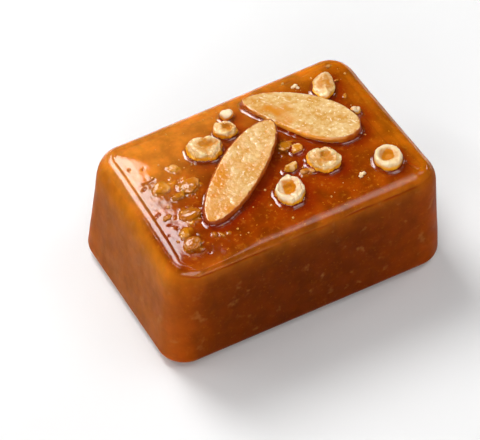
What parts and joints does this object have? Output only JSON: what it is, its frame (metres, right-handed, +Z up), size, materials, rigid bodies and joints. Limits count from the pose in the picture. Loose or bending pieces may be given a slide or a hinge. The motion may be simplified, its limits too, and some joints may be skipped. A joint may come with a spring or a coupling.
{
  "type": "almond caramel sweet",
  "caption": "Moulded caramel block with drafted sides, rounded edges and a low rim, topped with almond slices and chopped nut pieces set in its glaze.",
  "frame": {"origin": "centre of the base, on the surface the sweet stands on", "axes": "+X along the length towards the end with the round nut piece, +Y from the shown long side to the back, +Z up"},
  "size_m": [0.046, 0.0296, 0.0222],
  "materials": {
    "caramel": "glossy caramel glaze",
    "almond": "toasted almond, lightly glazed",
    "nut": "toasted nut, lightly glazed"
  },
  "bodies": {
    "root": {"caramel_block": "caramel", "almond_slice_front": "almond", "almond_slice_back": "almond", "nut_left": "nut", "nut_back_left": "nut", "nut_back_rim": "nut", "nut_back_right": "nut", "nut_right": "nut", "nut_right_end": "nut", "nut_front": "nut", "nut_middle": "nut", "nut_middle_low": "nut", "nut_back_end": "nut"}
  },
  "joints": []
}
